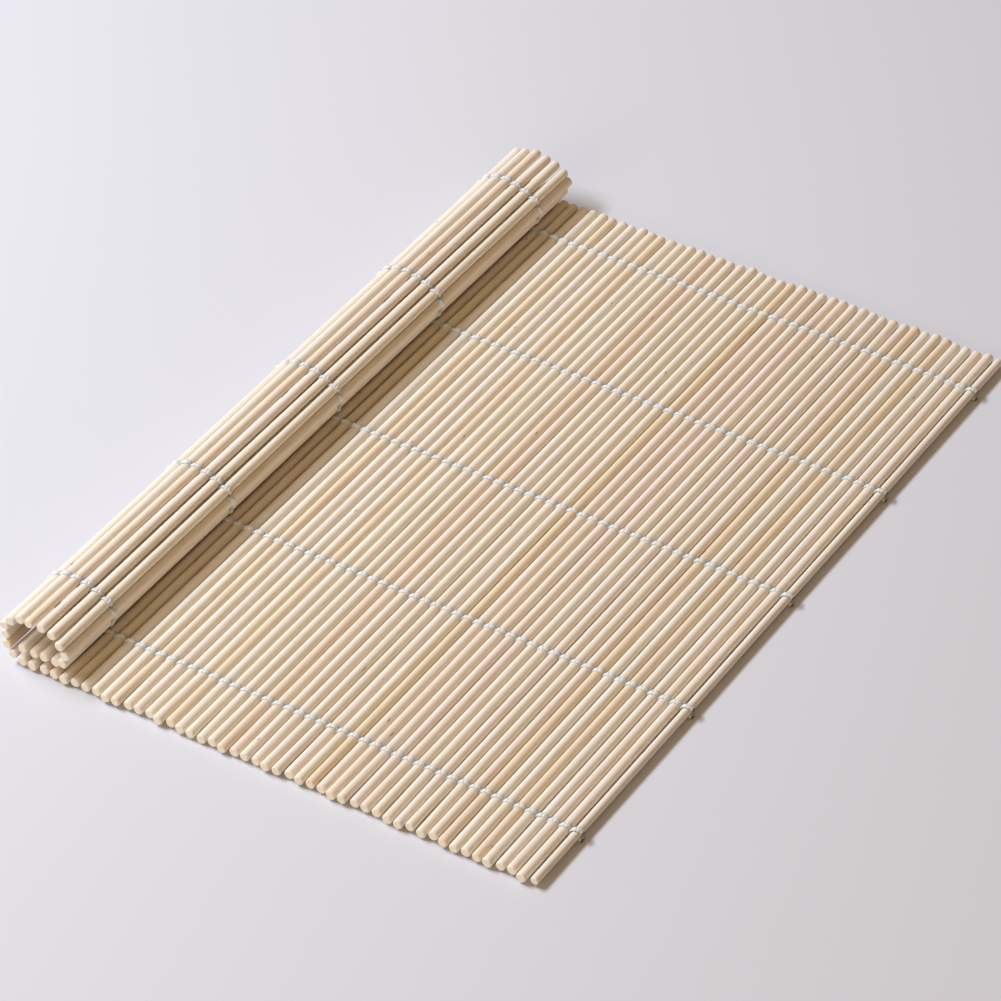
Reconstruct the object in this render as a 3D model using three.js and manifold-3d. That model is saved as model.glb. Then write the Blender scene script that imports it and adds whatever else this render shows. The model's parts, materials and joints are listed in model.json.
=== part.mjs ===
// Sushi rolling mat: thin bamboo sticks laid side by side and held by five twined cotton cords.
// It lies on a table as in use: most of it flat, its left end rolled over with the tip tucked inside.
// Millimetres. X runs along the cords, with the roll at low X and the free edge at high X, Y runs
// along the sticks and Z is up. The origin is on the table, under the middle of the whole mat.

import * as THREE from 'three';
import Module from 'manifold-3d';
import { mergeVertices } from 'three/addons/utils/BufferGeometryUtils.js';

const wasm = await Module();
wasm.setup();

// Driving sizes of the sticks
const stickLength = 240;
const stickDiameter = 2.8;
const stickGap = 0.4;
const sectionSides = 6;

// Driving sizes of the stitches that the cords make round each stick
const strandThickness = 0.45;
const stitchWidth = 2.6;
const stitchGap = 0.2;
const stitchJoin = 0.3;
const layerGap = 0.25;

// Places of the five cords, counted along the stick from its near end
const cordPlaceShares = [0.083, 0.302, 0.512, 0.719, 0.931];

// The part of a stitch that is flat, on the sticks that carry the roll's weight
const restingFlatShare = 0.35;

// How many sticks lie in each stretch of the mat, from the free edge to the tucked tip. In the bed,
// which is flat under the roll and carries it, the counts are those of its pieces.
const fieldCount = 43;
const bedPieces = [
  { name: 'bed_stick_1', count: 1 },
  { name: 'bed_sticks_2_and_3', count: 2 },
  { name: 'bed_stick_4', count: 1 },
  { name: 'bed_stick_5', count: 1 },
];
const tuckedCount = 4;

// Degrees that the mat turns from each stick to the next, from the last flat stick under the roll
// over the left wall, the top and the right wall to the tucked tip: one full turn in all
const rollBends = [42, 26, 21, 26, 27, 23, 18, 14, 8, 13, 46, 48, 48];

// Degrees that the tightest of these folds can still close when the roll is curled up tighter
const foldReserve = 9;

// Which two of these folds tilt the roll's top, so that the tucked tip comes down on its seat
const firstTiltFold = 6;
const lastTiltFold = 9;
const largestTilt = 20;
const tiltSteps = 40;

// Sizes that follow from the driving ones
const stickRadius = stickDiameter / 2;
const pitch = stickDiameter + stickGap;
const crownHeight = stickRadius + strandThickness;
const seatHeight = 2 * crownHeight + layerGap;
const bedCount = bedPieces.reduce((sum, { count }) => sum + count, 0);
const bedEnd = fieldCount + bedCount - 1;

// Rolls the chain of sticks up from the last bed stick. Neighbours share a hinge line halfway
// between them, so each step is half a pitch along the old heading and half along the new one.
function rollChain(tilt) {
  const bends = rollBends.map((bend, place) => {
    if (place === firstTiltFold) return bend + tilt;
    if (place === lastTiltFold) return bend - tilt;
    return bend;
  });
  const sticks = [];
  const spot = new THREE.Vector2(-pitch * bedEnd, 0);
  let turned = 0;
  for (const bend of bends) {
    const before = headingAt(turned);
    turned += THREE.MathUtils.degToRad(bend);
    const after = headingAt(turned);
    spot.addScaledVector(before, pitch / 2).addScaledVector(after, pitch / 2);
    sticks.push({ x: spot.x, z: spot.y, turned });
  }
  return { sticks, tightest: Math.max(...bends) };
}

// The way the mat runs once it has turned by an angle: towards low X on the bed, then up and over
function headingAt(turned) {
  return new THREE.Vector2(-Math.cos(turned), Math.sin(turned));
}

// Halves the range of tilts until the tucked tip lies on its seat: a lower right end, a lower tip
function seatedRoll() {
  let low = -largestTilt;
  let high = largestTilt;
  for (let step = 0; step < tiltSteps; step += 1) {
    const middle = (low + high) / 2;
    const tip = rollChain(middle).sticks.at(-1);
    if (tip.z > seatHeight) low = middle;
    else high = middle;
  }
  return rollChain((low + high) / 2);
}

const roll = seatedRoll();

// A stitch's flank leans in, so that two neighbours meet face to face where the mat folds tightest
const stitchHalf = (pitch - stitchGap) / 2;
const tightestHalfBend = THREE.MathUtils.degToRad((roll.tightest + foldReserve) / 2);
const stitchShoulder = stitchHalf - crownHeight * Math.tan(tightestHalfBend);

// The section of a bare stick: even sides with a flat on top and below
function stickSection() {
  return Array.from({ length: sectionSides }, (_, corner) => {
    const angle = (corner * 2 * Math.PI) / sectionSides;
    return [stickRadius * Math.cos(angle), stickRadius * Math.sin(angle)];
  });
}

// The section of a stitch: both strands' crowns over and under the stick, and the crossings between
// sticks, which reach rightReach and leftReach to the two sides
function stitchSection(rightReach, leftReach) {
  return [
    [rightReach, 0],
    [stitchShoulder, crownHeight],
    [-stitchShoulder, crownHeight],
    [-leftReach, 0],
    [-stitchShoulder, -crownHeight],
    [stitchShoulder, -crownHeight],
  ];
}

// Joins sections that stand at places along Y into one closed skin, with a flat cap at each end
function loftAlong(stations) {
  const sides = stations[0].section.length;
  const positions = stations.flatMap(({ place, section }) =>
    section.flatMap(([x, z]) => [x, place, z]));
  const index = [];
  for (let station = 0; station < stations.length - 1; station += 1) {
    for (let side = 0; side < sides; side += 1) {
      const here = station * sides + side;
      const beside = station * sides + ((side + 1) % sides);
      index.push(here, here + sides, beside, beside, here + sides, beside + sides);
    }
  }
  const last = (stations.length - 1) * sides;
  for (let side = 1; side < sides - 1; side += 1) {
    index.push(0, side, side + 1);
    index.push(last, last + side + 1, last + side);
  }
  const geometry = new THREE.BufferGeometry();
  geometry.setAttribute('position', new THREE.Float32BufferAttribute(positions, 3));
  geometry.setIndex(index);
  return geometry;
}

// A stick with its five stitches. A stitch swells from the bare stick to its crown and back, with a
// flat crown where flatShare is over zero.
function stitchedStick({ flatShare = 0, rightReach = stitchHalf, leftReach = stitchHalf } = {}) {
  const bare = stickSection();
  const stitched = stitchSection(rightReach, leftReach);
  const stations = [{ place: -stickLength / 2, section: bare }];
  for (const share of cordPlaceShares) {
    const middle = (share - 0.5) * stickLength;
    const halfFlat = (flatShare * stitchWidth) / 2;
    stations.push({ place: middle - stitchWidth / 2, section: bare });
    stations.push({ place: middle - halfFlat, section: stitched });
    if (halfFlat > 0) stations.push({ place: middle + halfFlat, section: stitched });
    stations.push({ place: middle + stitchWidth / 2, section: bare });
  }
  stations.push({ place: stickLength / 2, section: bare });
  return loftAlong(stations);
}

// Turns a closed skin into a solid that can be joined to others
function solidOf(geometry) {
  const merged = mergeVertices(geometry);
  return new wasm.Manifold(new wasm.Mesh({
    numProp: 3,
    vertProperties: new Float32Array(merged.attributes.position.array),
    triVerts: new Uint32Array(merged.index.array),
  }));
}

// Turns a joined solid back into a skin
function skinOf(solid) {
  const mesh = solid.getMesh();
  const geometry = new THREE.BufferGeometry();
  geometry.setAttribute('position', new THREE.BufferAttribute(mesh.vertProperties, 3));
  geometry.setIndex(new THREE.BufferAttribute(mesh.triVerts, 1));
  return geometry;
}

// Several sticks in one flat row that never fold against each other: the strands' crossings between
// them reach over each other and are joined there. The row starts at zero and runs towards low X.
function joinedSticks(count, options) {
  const joinReach = pitch / 2 + stitchJoin;
  let row = null;
  for (let place = 0; place < count; place += 1) {
    const geometry = stitchedStick({
      ...options,
      rightReach: place === 0 ? stitchHalf : joinReach,
      leftReach: place === count - 1 ? stitchHalf : joinReach,
    });
    geometry.translate(-pitch * place, 0, 0);
    const stick = solidOf(geometry);
    row = row ? row.add(stick) : stick;
  }
  return skinOf(row);
}

// Each stick's own tint of bamboo: pale cream, a little warmer or paler from stick to stick
function bamboo(number) {
  const tints = [0xe8d3a8, 0xe3c999, 0xecd9b2, 0xdfc592, 0xead0a6];
  return new THREE.MeshStandardMaterial({
    color: tints[number % tints.length],
    roughness: 0.62,
    metalness: 0,
  });
}

const mat = new THREE.Group();

// Adds one piece, at its place and turned with the mat's heading there
function addPiece(name, geometry, x, z = 0, turned = 0) {
  const piece = new THREE.Mesh(geometry, bamboo(mat.children.length));
  piece.name = name;
  piece.position.set(x, 0, z);
  piece.rotation.y = turned;
  mat.add(piece);
}

// The flat field, counted from the free edge
for (let place = 0; place < fieldCount; place += 1) {
  const number = String(place + 1).padStart(2, '0');
  addPiece(`field_stick_${number}`, stitchedStick(), -pitch * place);
}

// The flat sticks under the roll, with flats on the stitches that rest on the table
let bedPlace = fieldCount;
for (const { name, count } of bedPieces) {
  addPiece(name, joinedSticks(count, { flatShare: restingFlatShare }), -pitch * bedPlace);
  bedPlace += count;
}

// The roll's wall. Its last place is the first stick of the tucked tip.
const wall = roll.sticks.slice(0, -1);
wall.forEach(({ x, z, turned }, place) => {
  const number = String(place + 1).padStart(2, '0');
  addPiece(`roll_stick_${number}`, stitchedStick(), x, z, turned);
});

// The tucked tip: the mat's last sticks, flat on the bed inside the roll
const tucked = roll.sticks.at(-1);
addPiece('tucked_end', joinedSticks(tuckedCount), tucked.x, tucked.z, tucked.turned);

// Sets the mat on the table, with the origin under its middle
const extent = new THREE.Box3().setFromObject(mat, true);
const middle = extent.getCenter(new THREE.Vector3());
mat.position.set(-middle.x, -middle.y, -extent.min.z);

export default mat;
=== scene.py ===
"""Sushi rolling mat: bamboo sticks twined together by five cotton cords, one end rolled over.

The mat is one chain of sticks. Each stick lies between two crossings of the cords, and the
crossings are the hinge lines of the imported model, so every piece is placed from the frame's joints.
X runs along the cords, Y along the sticks and Z is up, in metres.
"""

import json

import bpy
import numpy as np
from bpy.props import FloatProperty, FloatVectorProperty, IntProperty, PointerProperty
from bpy.types import Operator, Panel, PropertyGroup
from mathutils import Euler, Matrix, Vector


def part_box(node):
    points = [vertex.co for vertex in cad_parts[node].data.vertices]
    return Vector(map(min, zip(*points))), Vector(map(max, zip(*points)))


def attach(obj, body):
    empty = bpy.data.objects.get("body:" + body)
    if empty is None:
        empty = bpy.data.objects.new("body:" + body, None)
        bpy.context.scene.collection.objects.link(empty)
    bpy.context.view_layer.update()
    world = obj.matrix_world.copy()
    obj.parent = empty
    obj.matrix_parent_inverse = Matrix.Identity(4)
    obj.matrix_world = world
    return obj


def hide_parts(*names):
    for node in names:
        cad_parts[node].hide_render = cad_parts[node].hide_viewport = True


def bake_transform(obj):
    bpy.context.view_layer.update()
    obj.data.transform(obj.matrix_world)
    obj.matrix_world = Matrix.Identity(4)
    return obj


bl_info = {
    "name": "Sushi rolling mat",
    "version": (1, 0, 0),
    "blender": (4, 5, 0),
    "location": "3D View > Sidebar > Rolling mat",
    "description": "Bamboo sticks, the cotton cords twined round them, and the table under them",
    "category": "Add Mesh",
}

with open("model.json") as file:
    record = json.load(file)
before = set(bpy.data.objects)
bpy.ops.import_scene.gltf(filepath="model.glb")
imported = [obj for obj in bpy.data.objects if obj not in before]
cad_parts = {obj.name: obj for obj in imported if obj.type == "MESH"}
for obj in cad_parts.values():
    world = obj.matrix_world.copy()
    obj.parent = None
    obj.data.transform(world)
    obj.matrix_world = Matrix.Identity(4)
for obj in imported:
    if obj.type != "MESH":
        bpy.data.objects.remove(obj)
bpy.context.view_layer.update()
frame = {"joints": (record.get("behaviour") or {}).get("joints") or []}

MM = 0.001

FIELD_STICKS = 43
BED_STICKS = 5
WALL_STICKS = 12
TUCKED_STICKS = 4
STICKS = FIELD_STICKS + BED_STICKS + WALL_STICKS + TUCKED_STICKS

# Where the five cords cross the sticks, counted along a stick from its near end
CORD_SHARES = np.array([0.083, 0.302, 0.512, 0.719, 0.931])

# Rings of a stick: in each rounded end, and between these, where the first and the last stand this
# far from the ends
END_RINGS = 5
MIDDLE_RINGS = 58
MIDDLE_INSET = 2 * MM

# Width and length of the bamboo's patterns. The fibres are three times as wide as real ones, so
# that they show. The tints are where a stick runs from one side of the cane's wall to the other.
# The flecks are only the peaks of their pattern, and so are smaller. The vessels are the dots on a
# sawn end.
FIBRE_GRAIN = (0.45 * MM, 14 * MM)
TINT_GRAIN = (2.5 * MM, 45 * MM)
FLECK_GRAIN = (1.1 * MM, 4 * MM)
VESSEL_STEP = 0.35 * MM
GRAIN_RELIEF = 0.05 * MM

# Millimetres from one band of the cotton's yarn to the next along a strand, drawn as coarse as they
# need to show, and what the wave texture multiplies a diagonal place by
YARN_STEP = 1.1424
DIAGONAL_WAVE = 10
YARN_RELIEF = 0.06 * MM
FUZZ_SIZE = 0.4 * MM
# Length of a strand for each length of pitch, and about the millimetres round it at a crossing
STRAND_STRETCH = 1.5
STRAND_ROUND = 2.5
# How much a strand's width differs from stick to stick, as a share
WIDTH_SPREAD = 0.08

# The cords' ends: the turn past the crown at which a strand leaves the stick, and its share of the usual
# width. A tail drops this much for each length outwards and has this many rings. It is dark from the
# first of the two shares of its length on, and fully dark from the second.
LEAVING_TURN = 0.22 * np.pi
END_WIDTH = 1.05
UPPER_DROP = 0.6
LOWER_DROP = 0.15
TAIL_RINGS = 5
TIP_START = 0.5
TIP_FULL = 0.7
# Length of the tails at the tucked tip, as a share of those at the free edge
TUCKED_TAIL_SHARE = 1 / 3

# Half the table's side, and how far from the middle its fade starts and ends, in metres
TABLE_REACH = 4.0
FADE_START = 0.32
FADE_END = 1.1

# Places of the lamps, their width and height in metres, and their colours: a cool window on the
# roll's side, widest along the sticks, a broad warm light from the near side, and the warm light
# all round
WINDOW_PLACE = (-0.78, -0.22, 0.95)
WINDOW_SIZE = (0.8, 0.26)
WINDOW_COLOUR = 0xEEF4FF
FRONT_PLACE = (0.0, -1.58, 0.62)
FRONT_SIZE = (0.9, 0.5)
FRONT_COLOUR = 0xFFEBD0
FILL_COLOUR = 0xFFD3A0

# Width of the camera's sensor in millimetres, and how far the camera sees in metres
SENSOR_WIDTH = 36.0
VIEW_DEPTH = 20.0

# Sockets of a node that mixes two colours, and of one that mixes two shaders
COLOUR_A, COLOUR_B, MIXED_COLOUR = 6, 7, 2
SHADER_A, SHADER_B = 1, 2

SEED = 11


def hinge_points():
    """Places in X and Z of all the crossings, from beyond the free edge to beyond the tucked tip.

    The joints give those between bodies; inside the bed and the tucked end they are evenly spaced.
    """
    place = {j["child"]: np.array([j["pos_m"][0], j["pos_m"][2]]) for j in frame["joints"]}
    field = [place[f"field_stick_{k:02d}"] for k in range(1, FIELD_STICKS + 1)]
    step = field[0] - field[1]
    wall = [place[f"roll_stick_{k:02d}"] for k in range(1, WALL_STICKS + 1)]
    tucked = place["tucked_end"]
    bed = [field[-1] - step * k for k in range(1, BED_STICKS)]
    tip = [tucked - step * k for k in range(1, TUCKED_STICKS + 1)]
    return np.array([field[0] + step, *field, *bed, *wall, tucked, *tip])


CROSSINGS = hinge_points()
CENTRES = (CROSSINGS[:-1] + CROSSINGS[1:]) / 2
PITCH = float(np.linalg.norm(CROSSINGS[0] - CROSSINGS[1]))
# Each stick's own directions in X and Z: across the mat towards the free edge, and the side that is
# up when flat
ACROSS = (CROSSINGS[:-1] - CROSSINGS[1:]) / PITCH
UPWARD = np.stack([-ACROSS[:, 1], ACROSS[:, 0]], axis=1)
LOW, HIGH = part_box("field_stick_01")
LENGTH = HIGH.y - LOW.y
CORD_PLACES = (CORD_SHARES - 0.5) * LENGTH

DRAWS = np.random.default_rng(SEED)
TONE = DRAWS.random(STICKS)
END_SCATTER = DRAWS.uniform(-1, 1, (STICKS, 2))
BOW_PHASE = DRAWS.uniform(0, 2 * np.pi, (STICKS, 2, 3))
BOW_SIZE = DRAWS.uniform(0.4, 1, (STICKS, 2, 3))
FAN = DRAWS.uniform(-1, 1, (STICKS, 2, 2))
OVAL = DRAWS.uniform(0, np.pi, STICKS)
GIRTH = DRAWS.uniform(-1, 1, STICKS)
CORD_WANDER = DRAWS.uniform(-1, 1, (len(CORD_SHARES), STICKS + 1))
STRAND_WIDTH = DRAWS.uniform(-1, 1, (len(CORD_SHARES), 2, STICKS + 1))
# The stick at the free edge is the palest, and thinner by eight times the spread
TONE[0] = 0
GIRTH[0] = -8


def linear(hex_colour):
    """An sRGB hex colour such as 0xE8D3A8 as linear red, green and blue."""
    srgb = np.array([hex_colour >> 16 & 255, hex_colour >> 8 & 255, hex_colour & 255]) / 255
    return tuple(np.where(srgb <= 0.04045, srgb / 12.92, ((srgb + 0.055) / 1.055) ** 2.4))


class StickSettings(PropertyGroup):
    """Sizes and colours of the bamboo sticks"""

    diameter: FloatProperty(
        name="Diameter", description="Diameter of a bamboo stick", default=2.75 * MM, unit="LENGTH")
    diameter_spread: FloatProperty(
        name="Diameter spread", description="How much a stick is thicker or thinner",
        default=0.06 * MM, unit="LENGTH")
    end_rounding: FloatProperty(
        name="End rounding", description="Radius of a stick's tumbled ends",
        default=0.45 * MM, unit="LENGTH")
    end_scatter: FloatProperty(
        name="End scatter", description="How far the ends stand out or back",
        default=0.55 * MM, unit="LENGTH")
    bow: FloatProperty(
        name="Bow", description="How far a stick wanders from a straight line",
        default=0.06 * MM, unit="LENGTH")
    fan: FloatProperty(
        name="Fan", description="How far the free ends lean beyond the outer cords",
        default=0.16 * MM, unit="LENGTH")
    ovality: FloatProperty(
        name="Ovality", description="Share by which the section is out of round", default=0.025,
        subtype="FACTOR")
    sides: IntProperty(name="Sides", description="Points round a stick", default=18)
    cream: FloatVectorProperty(
        name="Cream", description="Most sticks", subtype="COLOR", default=linear(0xF2ECE0))
    straw: FloatVectorProperty(
        name="Straw", description="Yellower sticks", subtype="COLOR", default=linear(0xF0E8D6))
    blush: FloatVectorProperty(
        name="Blush", description="Pinker sticks", subtype="COLOR", default=linear(0xF3E6DC))
    honey: FloatVectorProperty(
        name="Honey", description="Darkest sticks", subtype="COLOR", default=linear(0xECDABC))
    fibre: FloatVectorProperty(
        name="Fibre", description="Darker fibres along a stick", subtype="COLOR",
        default=linear(0xDDBC90))
    fleck: FloatVectorProperty(
        name="Fleck", description="Rare brown flecks", subtype="COLOR", default=linear(0x8A6238))
    cut_end: FloatVectorProperty(
        name="Cut end", description="The sawn ends", subtype="COLOR", default=linear(0xF6ECD8))


class CordSettings(PropertyGroup):
    """Sizes and colours of the twined cords"""

    crown_width: FloatProperty(
        name="Width on a stick", description="Width of a strand drawn flat over a stick",
        default=1.75 * MM, unit="LENGTH")
    crossing_width: FloatProperty(
        name="Width at a crossing", description="Width of a strand between two sticks",
        default=0.85 * MM, unit="LENGTH")
    thickness: FloatProperty(
        name="Thickness", description="Thickness of a strand", default=0.62 * MM, unit="LENGTH")
    stand_off: FloatProperty(
        name="Stand-off", description="Height of a strand's middle over the stick's middle",
        default=1.5 * MM, unit="LENGTH")
    lean: FloatProperty(
        name="Lean", description="How far a strand leans to either side between crossings",
        default=0.42 * MM, unit="LENGTH")
    wander: FloatProperty(
        name="Wander", description="How far the cords stray along the sticks",
        default=0.1 * MM, unit="LENGTH")
    ply_depth: FloatProperty(
        name="Ply depth", description="Depth of the plies' groove, as a share of the thickness",
        default=0.06, subtype="FACTOR")
    sides: IntProperty(name="Sides", description="Points round a strand", default=10)
    rings: IntProperty(name="Rings", description="Sections from one stick to the next", default=15)
    tail_length: FloatProperty(
        name="Tail", description="Length of the cut tails at the free edge",
        default=0.9 * MM, unit="LENGTH")
    cotton: FloatVectorProperty(
        name="Cotton", description="Bleached cotton", subtype="COLOR", default=linear(0xF0F2F0))
    # Painted shade: a blue-grey that stands in for the shade where the cotton dips between the sticks
    # and in the grooves of its yarns
    painted_shade: FloatVectorProperty(
        name="Painted shade", description="Cotton between the sticks", subtype="COLOR",
        default=linear(0xA7B4BA))
    tail: FloatVectorProperty(
        name="Tail end", description="The cut tails", subtype="COLOR", default=linear(0x4A4644))


class StageSettings(PropertyGroup):
    """The camera, the light and the colours round the mat"""

    azimuth: FloatProperty(
        name="Azimuth", description="Way the camera looks, turned from +Y", subtype="ANGLE",
        default=float(np.radians(32.02)))
    elevation: FloatProperty(
        name="Elevation", description="Height of the camera over the table", subtype="ANGLE",
        default=float(np.radians(39.12)))
    distance: FloatProperty(
        name="Distance", description="From the camera to the point it aims at",
        default=1.24156, unit="LENGTH")
    aim: FloatVectorProperty(
        name="Aim", description="Point the camera aims at", subtype="TRANSLATION",
        default=(-0.00076, -0.00868, 0.008))
    lens: FloatProperty(
        name="Lens", description="Focal length in millimetres", default=172.63, unit="CAMERA")
    key_power: FloatProperty(
        name="Key", description="Power of the light from the roll's side",
        default=17.6, unit="POWER")
    front_power: FloatProperty(
        name="Front", description="Power of the broad light from the near side",
        default=6.0, unit="POWER")
    fill_strength: FloatProperty(
        name="Fill", description="Strength of the light all round", default=0.27)
    table: FloatVectorProperty(
        name="Table", description="Pale table", subtype="COLOR", default=linear(0xD8DBE2))
    surround: FloatVectorProperty(
        name="Surround", description="Behind the table", subtype="COLOR", default=linear(0xE6E6EB))


def add(tree, kind, values=(), links=(), **settings):
    """Adds a node of one kind with its settings, the values of its inputs and the links into them.

    An input goes by its name, or by its number where several share a name.
    """
    made = tree.nodes.new(kind)
    for name, value in settings.items():
        setattr(made, name, value)
    for name, value in dict(values).items():
        made.inputs[name].default_value = value
    for name, socket in dict(links).items():
        tree.links.new(socket, made.inputs[name])
    return made


def new_material(name):
    """A material and its empty node tree, or the one of that name made before and None."""
    material = bpy.data.materials.get(name)
    if material:
        return material, None
    material = bpy.data.materials.new(name)
    material.use_nodes = True
    material.node_tree.nodes.clear()
    return material, material.node_tree


def rgba(colour):
    """A colour with nothing see-through in it."""
    return (*colour, 1.0)


def grain_scale(grain):
    """Scales that make a noise as wide across a stick and as long along it as the grain says."""
    width, length = grain
    return (1 / width, 1 / length, 1 / width)


def bamboo(settings):
    """Split bamboo, turned round and tumbled smooth.

    It is matt, with long fibres and a different tint on each stick.
    """
    material, tree = new_material("tumbled bamboo")
    if tree is None:
        return material
    place = add(tree, "ShaderNodeTexCoord")
    fibre_map = add(tree, "ShaderNodeMapping", {"Scale": grain_scale(FIBRE_GRAIN)},
                    {"Vector": place.outputs["Object"]})
    fibre = add(tree, "ShaderNodeTexNoise", {"Scale": 1.0, "Detail": 3.0, "Roughness": 0.6},
                {"Vector": fibre_map.outputs["Vector"]})
    broad_map = add(tree, "ShaderNodeMapping", {"Scale": grain_scale(TINT_GRAIN)},
                    {"Vector": place.outputs["Object"]})
    broad = add(tree, "ShaderNodeTexNoise", {"Scale": 1.0, "Detail": 2.0, "Roughness": 0.5},
                {"Vector": broad_map.outputs["Vector"]})
    tone = add(tree, "ShaderNodeAttribute", attribute_name="tone")
    tints = add(tree, "ShaderNodeValToRGB", links={"Fac": tone.outputs["Fac"]})
    ramp = tints.color_ramp
    ramp.elements[0].color = rgba(settings.cream)
    ramp.elements[1].color = rgba(settings.honey)
    ramp.elements.new(0.35).color = rgba(settings.straw)
    ramp.elements.new(0.7).color = rgba(settings.blush)
    warmth = add(tree, "ShaderNodeMapRange",
                 {"From Min": 0.4, "From Max": 0.75, "To Min": 0.0, "To Max": 0.35},
                 {"Value": broad.outputs["Fac"]})
    tinted = add(tree, "ShaderNodeMix", {COLOUR_B: rgba(settings.honey)},
                 {"Factor": warmth.outputs["Result"], COLOUR_A: tints.outputs["Color"]},
                 data_type="RGBA")
    streak = add(tree, "ShaderNodeMapRange",
                 {"From Min": 0.5, "From Max": 0.8, "To Min": 0.0, "To Max": 0.4},
                 {"Value": fibre.outputs["Fac"]})
    streaked = add(tree, "ShaderNodeMix", {COLOUR_B: rgba(settings.fibre)},
                   {"Factor": streak.outputs["Result"], COLOUR_A: tinted.outputs[MIXED_COLOUR]},
                   data_type="RGBA")
    # a few brown flecks, where the pattern is at its highest
    fleck_map = add(tree, "ShaderNodeMapping", {"Scale": grain_scale(FLECK_GRAIN)},
                    {"Vector": place.outputs["Object"]})
    fleck = add(tree, "ShaderNodeTexNoise", {"Scale": 1.0, "Detail": 1.0},
                {"Vector": fleck_map.outputs["Vector"]})
    fleck_share = add(tree, "ShaderNodeMapRange",
                      {"From Min": 0.76, "From Max": 0.82, "To Min": 0.0, "To Max": 0.6},
                      {"Value": fleck.outputs["Fac"]})
    flecked = add(tree, "ShaderNodeMix", {COLOUR_B: rgba(settings.fleck)},
                  {"Factor": fleck_share.outputs["Result"],
                   COLOUR_A: streaked.outputs[MIXED_COLOUR]},
                  data_type="RGBA")
    # the sawn ends are paler, with the cut vessels as dots
    vessels = add(tree, "ShaderNodeTexVoronoi", {"Scale": 1 / VESSEL_STEP},
                  {"Vector": place.outputs["Object"]})
    dots = add(tree, "ShaderNodeMapRange",
               {"From Min": 0.1, "From Max": 0.35, "To Min": 0.35, "To Max": 0.0},
               {"Value": vessels.outputs["Distance"]})
    cut = add(tree, "ShaderNodeMix",
              {COLOUR_A: rgba(settings.cut_end), COLOUR_B: rgba(settings.fibre)},
              {"Factor": dots.outputs["Result"]}, data_type="RGBA")
    end = add(tree, "ShaderNodeAttribute", attribute_name="cut_end")
    ended = add(tree, "ShaderNodeMix", {},
                {"Factor": end.outputs["Fac"], COLOUR_A: flecked.outputs[MIXED_COLOUR],
                 COLOUR_B: cut.outputs[MIXED_COLOUR]}, data_type="RGBA")
    rough = add(tree, "ShaderNodeMapRange",
                {"From Min": 0.3, "From Max": 0.8, "To Min": 0.58, "To Max": 0.74},
                {"Value": fibre.outputs["Fac"]})
    bump = add(tree, "ShaderNodeBump", {"Strength": 0.5, "Distance": GRAIN_RELIEF},
               {"Height": fibre.outputs["Fac"]})
    shader = add(tree, "ShaderNodeBsdfPrincipled", {"IOR": 1.5, "Specular IOR Level": 0.3},
                 {"Base Color": ended.outputs[MIXED_COLOUR], "Roughness": rough.outputs["Result"],
                  "Normal": bump.outputs["Normal"]})
    add(tree, "ShaderNodeOutputMaterial", links={"Surface": shader.outputs["BSDF"]})
    return material


def cotton(settings):
    """Bleached two-ply cotton twine.

    It is matt, with slanting yarns. Painted shade makes it greyer where it dips between the sticks
    and in the grooves between the yarns.
    """
    material, tree = new_material("twined cotton")
    if tree is None:
        return material
    along = add(tree, "ShaderNodeUVMap", uv_map="strand")
    # slanting bands, twice as close round the strand as along it
    slant = add(tree, "ShaderNodeMapping", {"Scale": (1.0, 2.0, 1.0)},
                {"Vector": along.outputs["UV"]})
    yarn = add(tree, "ShaderNodeTexWave",
               {"Scale": 2 * np.pi / (DIAGONAL_WAVE * YARN_STEP), "Distortion": 1.2, "Detail": 2.0},
               {"Vector": slant.outputs["Vector"]}, wave_type="BANDS", bands_direction="DIAGONAL")
    place = add(tree, "ShaderNodeTexCoord")
    fuzz = add(tree, "ShaderNodeTexNoise", {"Scale": 1 / FUZZ_SIZE, "Detail": 3.0},
               {"Vector": place.outputs["Object"]})
    # painted shade: 1 at a crossing, where the strand dips between the sticks, and 0 on a stick
    depth = add(tree, "ShaderNodeAttribute", attribute_name="painted_shade")
    shade = add(tree, "ShaderNodeMix",
                {COLOUR_A: rgba(settings.cotton), COLOUR_B: rgba(settings.painted_shade)},
                {"Factor": depth.outputs["Fac"]}, data_type="RGBA")
    # painted shade in the grooves between the slanting yarn bands
    groove = add(tree, "ShaderNodeMapRange",
                 {"From Min": 0.0, "From Max": 0.35, "To Min": 0.22, "To Max": 0.0},
                 {"Value": yarn.outputs["Fac"]})
    groove_shaded = add(tree, "ShaderNodeMix", {COLOUR_B: rgba(settings.painted_shade)},
                  {"Factor": groove.outputs["Result"], COLOUR_A: shade.outputs[MIXED_COLOUR]},
                  data_type="RGBA")
    tail = add(tree, "ShaderNodeAttribute", attribute_name="tail")
    tailed = add(tree, "ShaderNodeMix", {COLOUR_B: rgba(settings.tail)},
                 {"Factor": tail.outputs["Fac"], COLOUR_A: groove_shaded.outputs[MIXED_COLOUR]},
                 data_type="RGBA")
    height = add(tree, "ShaderNodeMath", {},
                 {0: yarn.outputs["Fac"], 1: fuzz.outputs["Fac"]}, operation="ADD")
    bump = add(tree, "ShaderNodeBump", {"Strength": 0.6, "Distance": YARN_RELIEF},
               {"Height": height.outputs["Value"]})
    shader = add(tree, "ShaderNodeBsdfPrincipled",
                 {"Roughness": 0.88, "Sheen Weight": 0.25, "Sheen Roughness": 0.6},
                 {"Base Color": tailed.outputs[MIXED_COLOUR], "Normal": bump.outputs["Normal"]})
    add(tree, "ShaderNodeOutputMaterial", links={"Surface": shader.outputs["BSDF"]})
    return material


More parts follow.
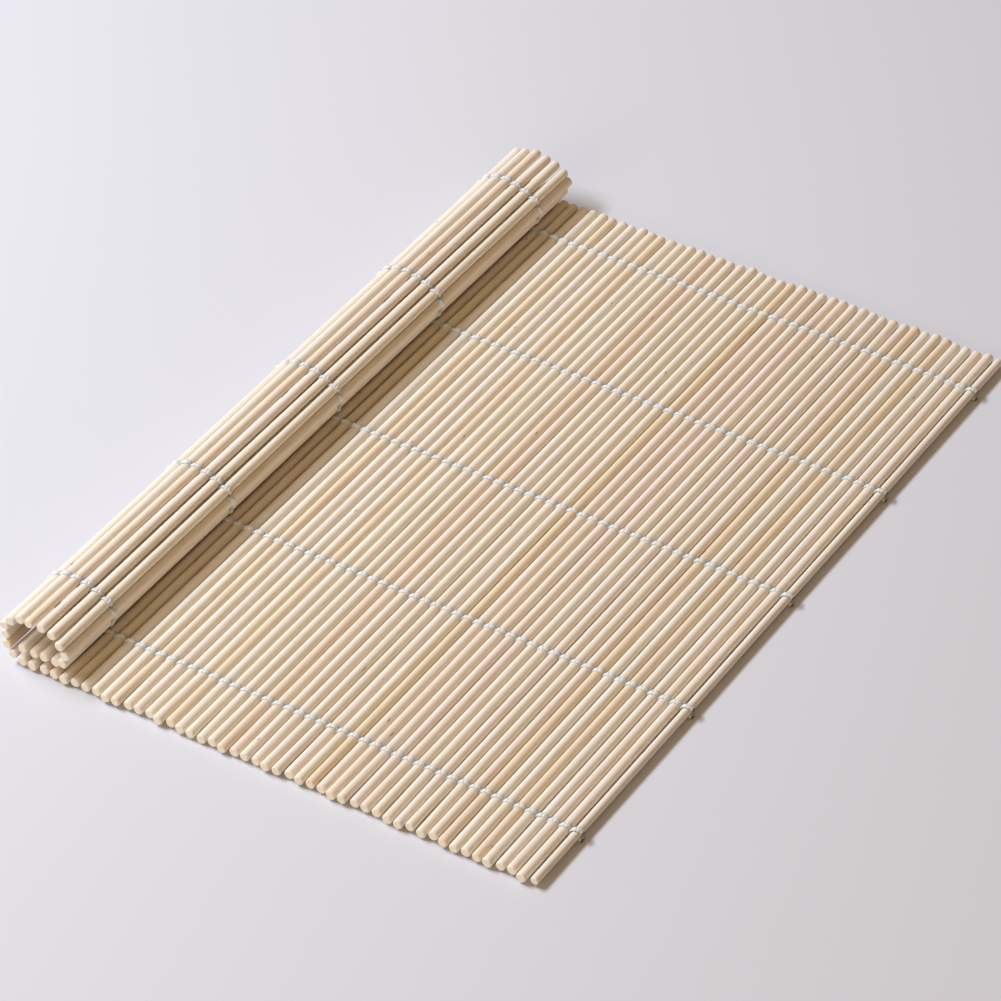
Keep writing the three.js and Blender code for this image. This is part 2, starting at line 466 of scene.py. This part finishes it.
def tube_faces(rings, sides, first):
    """Quads between the rings of a tube, each with sides points, and one flat cap at each end.

    A point's number is first + ring * sides + side. The rings turn so that faces point outwards.
    """
    ring, side = np.meshgrid(np.arange(rings - 1), np.arange(sides), indexing="ij")
    here = first + ring * sides + side
    beside = first + ring * sides + (side + 1) % sides
    quads = np.stack([here, here + sides, beside + sides, beside], axis=-1).reshape(-1, 4)
    near = first + np.arange(sides)
    far = first + (rings - 1) * sides + np.arange(sides)[::-1]
    return quads.tolist() + [near.tolist(), far.tolist()]


def new_piece(name, points, faces, material, attributes=()):
    """One mesh object at the origin, with its place in its points: smooth quads and flat caps."""
    mesh = bpy.data.meshes.new(name)
    mesh.from_pydata(points.reshape(-1, 3).tolist(), [], faces)
    for title, values in dict(attributes).items():
        layer = mesh.attributes.new(title, "FLOAT", "POINT")
        layer.data.foreach_set("value", values.ravel().astype(np.float32))
    mesh.polygons.foreach_set("use_smooth", [len(face) == 4 for face in faces])
    mesh.materials.append(material)
    mesh.update()
    piece = bpy.data.objects.new(name, mesh)
    bpy.context.scene.collection.objects.link(piece)
    return piece


def stick_rings(settings, number):
    """Places along Y and shares of the radius of a stick's rings. An end is a quarter circle."""
    reach = END_SCATTER[number] * settings.end_scatter
    near = -LENGTH / 2 + reach[0]
    far = LENGTH / 2 + reach[1]
    turn = np.linspace(0, np.pi / 2, END_RINGS)
    inset = settings.end_rounding * (1 - np.cos(turn))
    share = 1 - settings.end_rounding / (settings.diameter / 2) * (1 - np.sin(turn))
    middle = np.linspace(near + MIDDLE_INSET, far - MIDDLE_INSET, MIDDLE_RINGS)
    places = np.concatenate([near + inset, middle, far - inset[::-1]])
    shares = np.concatenate([share, np.ones(len(middle)), share[::-1]])
    return places, shares


def stick_surface(settings, number):
    """A stick's points on a grid: rings along Y, and an angle round each ring.

    The section is a circle that is a little out of round. The middle line wanders by three sine
    waves, and beyond the outer cords it leans to one side.
    """
    places, shares = stick_rings(settings, number)
    angle = np.arange(settings.sides) / settings.sides * 2 * np.pi
    radius = (settings.diameter + GIRTH[number] * settings.diameter_spread) / 2
    section = radius * (1 + settings.ovality * np.cos(2 * (angle - OVAL[number])))
    waves = np.arange(1, 4)
    wave = np.sin(2 * np.pi * waves * places[:, None, None] / LENGTH + BOW_PHASE[number])
    line = (wave * BOW_SIZE[number] / waves).sum(axis=-1) * settings.bow
    beyond_near = np.clip((CORD_PLACES[0] - places) / (CORD_PLACES[0] + LENGTH / 2), 0, None)
    beyond_far = np.clip((places - CORD_PLACES[-1]) / (LENGTH / 2 - CORD_PLACES[-1]), 0, None)
    line += settings.fan * beyond_near[:, None] * FAN[number, 0]
    line += settings.fan * beyond_far[:, None] * FAN[number, 1]
    across = line[:, :1] + shares[:, None] * section * np.cos(angle)
    upward = line[:, 1:] + shares[:, None] * section * np.sin(angle)
    flat = (CENTRES[number] + across[..., None] * ACROSS[number]
            + upward[..., None] * UPWARD[number])
    along = np.broadcast_to(places[:, None], across.shape)
    return np.stack([flat[..., 0], along, flat[..., 1]], axis=-1)


def body_of_stick(number):
    """The body that carries a stick, counted from the free edge."""
    if number < FIELD_STICKS:
        return f"field_stick_{number + 1:02d}"
    number -= FIELD_STICKS
    if number < BED_STICKS:
        return "bed"
    number -= BED_STICKS
    return f"roll_stick_{number + 1:02d}" if number < WALL_STICKS else "tucked_end"


def node_of_stick(number):
    """The solid that a stick stands for."""
    body = body_of_stick(number)
    if body != "bed":
        return body
    return ["bed_stick_1", "bed_sticks_2_and_3", "bed_sticks_2_and_3", "bed_stick_4",
            "bed_stick_5"][number - FIELD_STICKS]


def make_sticks(scene, numbers):
    """Makes some of the sticks, each one piece."""
    settings = scene.mat_sticks
    for number in numbers:
        points = stick_surface(settings, number)
        rings, sides = points.shape[:2]
        end = np.zeros((rings, sides))
        end[[0, -1]] = 1
        piece = new_piece(
            f"bamboo_{number + 1:02d}", points, tube_faces(rings, sides, 0), bamboo(settings),
            {"tone": np.full((rings, sides), TONE[number]), "cut_end": end})
        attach(piece, body_of_stick(number))
        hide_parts(node_of_stick(number))


def strand_half(settings, cord, strand, number, turn):
    """A strand's middle line over or under one stick.

    turn runs from 0 at the stick's side that faces the free edge to pi at its other side. The line
    is a half circle round the stick: across = half a pitch times cos(turn), upward = stand-off
    times sin(turn), on the side that the strand takes here. Along the stick it leans by cos(turn),
    so that both strands change sides at each crossing in the same sense.
    """
    side = 1 if (number + strand) % 2 == 0 else -1
    across = PITCH / 2 * np.cos(turn)
    upward = side * settings.stand_off * np.sin(turn)
    blend = (1 - np.cos(turn)) / 2
    wander = (1 - blend) * CORD_WANDER[cord, number] + blend * CORD_WANDER[cord, number + 1]
    along = CORD_PLACES[cord] + side * settings.lean * np.cos(turn) + settings.wander * wander
    flat = CENTRES[number] + across[:, None] * ACROSS[number] + upward[:, None] * UPWARD[number]
    return np.stack([flat[:, 0], along, flat[:, 1]], axis=-1)


def strand_tube(settings, path, start, end, turn, width_share):
    """A closed tube round a path: an oval section with two lobes that turn with the plies.

    The section is wide along the stick and thin across it. Its width runs from that at a crossing
    to that on a stick as the square of sin(turn). The lobes are 1 plus the ply depth times cos(2
    angle - 2 turn). The painted shade is 1 at a crossing and 0 on a stick, for the shade where the
    strand dips between the sticks. start and end are the path's directions at its ends.
    """
    run = np.gradient(path, axis=0)
    run[0], run[-1] = start, end
    run /= np.linalg.norm(run, axis=1, keepdims=True)
    thick = np.cross([0.0, 1.0, 0.0], run)
    thick /= np.linalg.norm(thick, axis=1, keepdims=True)
    wide = np.cross(run, thick)
    angle = np.arange(settings.sides) / settings.sides * 2 * np.pi
    flatness = np.sin(turn)[:, None] ** 2
    growth = settings.crown_width - settings.crossing_width
    width = (settings.crossing_width + growth * flatness) / 2
    lobes = 1 + settings.ply_depth * np.cos(2 * angle - 2 * turn[:, None])
    reach_wide = width * width_share[:, None] * lobes * np.cos(angle)
    reach_thick = settings.thickness / 2 * lobes * np.sin(angle)
    points = (path[:, None] + reach_wide[..., None] * wide[:, None]
              + reach_thick[..., None] * thick[:, None])
    # how much painted shade there is, for the shade where the strand dips between the sticks
    painted_shade = np.broadcast_to(1 - flatness, points.shape[:2])
    return points, painted_shade


def stick_direction(settings, strand, number, turn):
    """The direction of a strand's middle line at one turn on a stick."""
    side = 1 if (number + strand) % 2 == 0 else -1
    flat = (-PITCH / 2 * np.sin(turn) * ACROSS[number]
            + side * settings.stand_off * np.cos(turn) * UPWARD[number])
    return np.array([flat[0], -side * settings.lean * np.sin(turn), flat[1]])


def crossing_strands(settings, crossing):
    """All the strands from the middle of one stick to the middle of the next, at the five cords."""
    before, after = crossing - 1, crossing
    half = settings.rings // 2 + 1
    first_turn = np.linspace(np.pi / 2, np.pi, half)
    second_turn = np.linspace(0, np.pi / 2, half)[1:]
    turn = np.concatenate([first_turn, np.pi + second_turn])
    grids = []
    painted_shades = []
    for cord in range(len(CORD_SHARES)):
        for strand in range(2):
            path = np.concatenate([
                strand_half(settings, cord, strand, before, first_turn),
                strand_half(settings, cord, strand, after, second_turn)])
            # each inner point moves halfway to the middle of its neighbours, to round the mat's
            # bend
            inner = path[1:-1] / 2 + (path[:-2] + path[2:]) / 4
            path = np.concatenate([path[:1], inner, path[-1:]])
            spread = STRAND_WIDTH[cord, strand]
            place = np.linspace(0, 1, len(turn))
            width_share = 1 + WIDTH_SPREAD * ((1 - place) * spread[before] + place * spread[after])
            points, painted_shade = strand_tube(
                settings, path, stick_direction(settings, strand, before, np.pi / 2),
                stick_direction(settings, strand, after, np.pi / 2), turn, width_share)
            grids.append(points)
            painted_shades.append(painted_shade)
    return np.array(grids), np.array(painted_shades)


def strand_faces(grids):
    """The faces of several tubes of the same count of rings and sides, one after the other."""
    tubes, rings, sides = grids.shape[:3]
    return [face for tube in range(tubes)
            for face in tube_faces(rings, sides, tube * rings * sides)]


def add_strand_map(piece, tubes, rings, sides):
    """A UV map along each strand and round it.

    It is about in millimetres from stick to stick, stretched round a strand where this is wide, and
    squeezed along the cut ends.
    """
    ring, side = np.meshgrid(np.arange(rings - 1), np.arange(sides), indexing="ij")
    corner_ring = np.stack([ring, ring + 1, ring + 1, ring], axis=-1)
    corner_side = np.stack([side, side, side + 1, side + 1], axis=-1)
    along = corner_ring * PITCH / MM * STRAND_STRETCH / (rings - 1)
    around = corner_side / sides * STRAND_ROUND
    quads = np.stack([along, around], axis=-1).reshape(-1, 2)
    one = np.concatenate([quads, np.zeros((2 * sides, 2))])
    layer = piece.data.uv_layers.new(name="strand")
    layer.data.foreach_set("uv", np.tile(one, (tubes, 1)).ravel().astype(np.float32))


def make_crossing(scene, crossing):
    """The cords from one stick to the next, carried by a body only where both sticks share it."""
    settings = scene.mat_cords
    grids, painted_shades = crossing_strands(settings, crossing)
    piece = new_piece(
        f"cord_crossings_{crossing:02d}", grids, strand_faces(grids), cotton(settings),
        {"painted_shade": painted_shades, "tail": np.zeros(grids.shape[:3])})
    add_strand_map(piece, *grids.shape[:3])
    before, after = body_of_stick(crossing - 1), body_of_stick(crossing)
    if before == after:
        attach(piece, before)
    else:
        way = ACROSS[crossing - 1] + ACROSS[crossing]
        way *= PITCH / 4 / np.linalg.norm(way)
        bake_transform(piece)


def end_strands(settings, number, outward, tail_length):
    """The cords' last halves on an end stick, and their cut tails.

    Each strand comes round the stick to its outer side, leaves it there and is cut short. outward
    is 1 at the free edge and -1 at the tucked tip. The tail of the upper strand points down past
    the stick, and that of the lower one runs out along what is below.
    """
    last_turn = np.pi / 2 - outward * LEAVING_TURN
    turn = np.linspace(np.pi / 2, last_turn, settings.rings)
    along_tail = np.linspace(0, 1, TAIL_RINGS + 1)[1:]
    long_turn = np.concatenate([turn, np.full(len(along_tail), last_turn)])
    tip = np.clip((along_tail - TIP_START) / (TIP_FULL - TIP_START), 0, 1)
    dark = np.concatenate([np.zeros(len(turn)), tip])
    grids = []
    painted_shades = []
    tails = []
    for cord in range(len(CORD_SHARES)):
        for strand in range(2):
            over = (number + strand) % 2 == 0
            path = strand_half(settings, cord, strand, number, turn)
            drop = UPPER_DROP if over else LOWER_DROP
            way = outward * ACROSS[number] - drop * UPWARD[number]
            way = np.array([way[0], 0, way[1]]) / np.linalg.norm(way)
            whole = np.concatenate([path, path[-1] + tail_length * along_tail[:, None] * way])
            start = -outward * stick_direction(settings, strand, number, np.pi / 2)
            width_share = np.full(len(long_turn), END_WIDTH)
            points, painted_shade = strand_tube(settings, whole, start, way, long_turn, width_share)
            grids.append(points)
            # the cords' ends get half of that painted shade
            painted_shades.append(painted_shade / 2)
            tails.append(np.broadcast_to(dark[:, None], points.shape[:2]))
    return np.array(grids), np.array(painted_shades), np.array(tails)


def make_tails(scene, name, number, outward, tail_length):
    """The ends of the cords on the mat's first or last stick."""
    settings = scene.mat_cords
    grids, painted_shades, tails = end_strands(settings, number, outward, tail_length)
    piece = new_piece(
        name, grids, strand_faces(grids), cotton(settings), {"painted_shade": painted_shades, "tail": tails})
    add_strand_map(piece, *grids.shape[:3])
    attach(piece, body_of_stick(number))


class MAT_OT_field_sticks(Operator):
    """The flat sticks that can be seen, from the free edge to the roll"""

    bl_idname = "mat.field_sticks"
    bl_label = "Field sticks"

    def execute(self, context):
        make_sticks(context.scene, range(FIELD_STICKS))
        return {"FINISHED"}


class MAT_OT_bed_sticks(Operator):
    """The flat sticks under the roll"""

    bl_idname = "mat.bed_sticks"
    bl_label = "Bed sticks"

    def execute(self, context):
        make_sticks(context.scene, range(FIELD_STICKS, FIELD_STICKS + BED_STICKS))
        return {"FINISHED"}


class MAT_OT_roll_sticks(Operator):
    """The sticks of the roll's wall and of the tip that is tucked into it"""

    bl_idname = "mat.roll_sticks"
    bl_label = "Roll sticks"

    def execute(self, context):
        make_sticks(context.scene, range(FIELD_STICKS + BED_STICKS, STICKS))
        return {"FINISHED"}


class MAT_OT_cords(Operator):
    """The five twined cords, from stick to stick"""

    bl_idname = "mat.cords"
    bl_label = "Cords"

    def execute(self, context):
        for crossing in range(1, STICKS):
            make_crossing(context.scene, crossing)
        return {"FINISHED"}


class MAT_OT_tails(Operator):
    """The cut tails at both ends of the cords"""

    bl_idname = "mat.tails"
    bl_label = "Tails"

    def execute(self, context):
        length = context.scene.mat_cords.tail_length
        make_tails(context.scene, "free_edge_tails", 0, 1, length)
        make_tails(context.scene, "tucked_tip_tails", STICKS - 1, -1, length * TUCKED_TAIL_SHARE)
        return {"FINISHED"}


class MAT_OT_stage(Operator):
    """The table, the light and the camera"""

    bl_idname = "mat.stage"
    bl_label = "Stage"

    def execute(self, context):
        settings = context.scene.mat_stage
        make_table(settings)
        make_light(settings)
        make_camera(context.scene, settings)
        return {"FINISHED"}


def table_top(settings):
    """A smooth, matt, painted table. Far from the mat it fades for the eye into what is behind."""
    material, tree = new_material("pale table")
    if tree is None:
        return material
    shader = add(tree, "ShaderNodeBsdfPrincipled",
                 {"Base Color": rgba(settings.table), "Roughness": 0.7, "Specular IOR Level": 0.2})
    place = add(tree, "ShaderNodeTexCoord")
    away = add(tree, "ShaderNodeVectorMath", {}, {"Vector": place.outputs["Object"]},
               operation="LENGTH")
    far = add(tree, "ShaderNodeMapRange", {"From Min": FADE_START, "From Max": FADE_END},
              {"Value": away.outputs["Value"]}, interpolation_type="SMOOTHSTEP")
    path = add(tree, "ShaderNodeLightPath")
    faded = add(tree, "ShaderNodeMath", {},
                {0: far.outputs["Result"], 1: path.outputs["Is Camera Ray"]}, operation="MULTIPLY")
    behind = add(tree, "ShaderNodeEmission", {"Color": rgba(settings.surround), "Strength": 1.0})
    mixed = add(tree, "ShaderNodeMixShader", {},
                {"Fac": faded.outputs["Value"], SHADER_A: shader.outputs["BSDF"],
                 SHADER_B: behind.outputs["Emission"]})
    add(tree, "ShaderNodeOutputMaterial", links={"Surface": mixed.outputs["Shader"]})
    return material


def make_table(settings):
    """One square of table, large enough to fill the view."""
    corners = TABLE_REACH * np.array([[-1, -1, 0], [1, -1, 0], [1, 1, 0], [-1, 1, 0]])
    table = new_piece("table", corners, [[0, 1, 2, 3]], table_top(settings))


def make_lamp(name, place, size, power, colour):
    """A rectangular lamp that faces the middle of the mat. Its width is level."""
    lamp = bpy.data.lights.new(name, "AREA")
    lamp.shape = "RECTANGLE"
    lamp.size, lamp.size_y = size
    lamp.energy = power
    lamp.color = colour
    holder = bpy.data.objects.new(name, lamp)
    bpy.context.scene.collection.objects.link(holder)
    holder.location = Vector(place)
    holder.rotation_euler = (-holder.location).to_track_quat("-Z", "Y").to_euler()


def make_light(settings):
    """A window on the roll's side, a broad light from the near side, and a weak one all round."""
    world = bpy.data.worlds.new("room")
    bpy.context.scene.world = world
    world.use_nodes = True
    tree = world.node_tree
    tree.nodes.clear()
    path = add(tree, "ShaderNodeLightPath")
    even = add(tree, "ShaderNodeBackground",
               {"Color": rgba(linear(FILL_COLOUR)), "Strength": settings.fill_strength})
    seen = add(tree, "ShaderNodeBackground", {"Color": rgba(settings.surround), "Strength": 1.0})
    mixed = add(tree, "ShaderNodeMixShader", {},
                {"Fac": path.outputs["Is Camera Ray"], SHADER_A: even.outputs["Background"],
                 SHADER_B: seen.outputs["Background"]})
    add(tree, "ShaderNodeOutputWorld", links={"Surface": mixed.outputs["Shader"]})
    make_lamp("window", WINDOW_PLACE, WINDOW_SIZE, settings.key_power, linear(WINDOW_COLOUR))
    make_lamp("front", FRONT_PLACE, FRONT_SIZE, settings.front_power, linear(FRONT_COLOUR))


def make_camera(scene, settings):
    """A long lens at the photograph's angle."""
    camera = bpy.data.cameras.new("camera")
    camera.lens = settings.lens
    camera.sensor_width = SENSOR_WIDTH
    camera.clip_end = VIEW_DEPTH
    view = bpy.data.objects.new("camera", camera)
    scene.collection.objects.link(view)
    view.rotation_euler = Euler((np.pi / 2 - settings.elevation, 0, settings.azimuth))
    back = view.rotation_euler.to_matrix() @ Vector((0, 0, 1))
    view.location = Vector(settings.aim) + back * settings.distance
    scene.camera = view
    scene.view_settings.view_transform = "Standard"


class MAT_PT_panel(Panel):
    """The mat's parts, in the sidebar"""

    bl_label = "Rolling mat"
    bl_idname = "MAT_PT_panel"
    bl_space_type = "VIEW_3D"
    bl_region_type = "UI"
    bl_category = "Rolling mat"

    def draw(self, context):
        scene = context.scene
        for settings in (scene.mat_sticks, scene.mat_cords, scene.mat_stage):
            box = self.layout.box()
            for name in settings.__annotations__:
                box.prop(settings, name)
        for operator in OPERATORS:
            self.layout.operator(operator.bl_idname)


OPERATORS = (
    MAT_OT_stage,
    MAT_OT_field_sticks,
    MAT_OT_bed_sticks,
    MAT_OT_roll_sticks,
    MAT_OT_cords,
    MAT_OT_tails,
)
CLASSES = (StickSettings, CordSettings, StageSettings, *OPERATORS, MAT_PT_panel)


def register():
    for item in CLASSES:
        bpy.utils.register_class(item)
    bpy.types.Scene.mat_sticks = PointerProperty(type=StickSettings)
    bpy.types.Scene.mat_cords = PointerProperty(type=CordSettings)
    bpy.types.Scene.mat_stage = PointerProperty(type=StageSettings)


def unregister():
    for name in ("mat_sticks", "mat_cords", "mat_stage"):
        delattr(bpy.types.Scene, name)
    for item in reversed(CLASSES):
        bpy.utils.unregister_class(item)


def main():
    """Makes the whole scene."""
    register()
    bpy.ops.mat.stage()
    bpy.ops.mat.field_sticks()
    bpy.ops.mat.bed_sticks()
    bpy.ops.mat.roll_sticks()
    bpy.ops.mat.cords()
    bpy.ops.mat.tails()


if __name__ == "__main__":
    main()
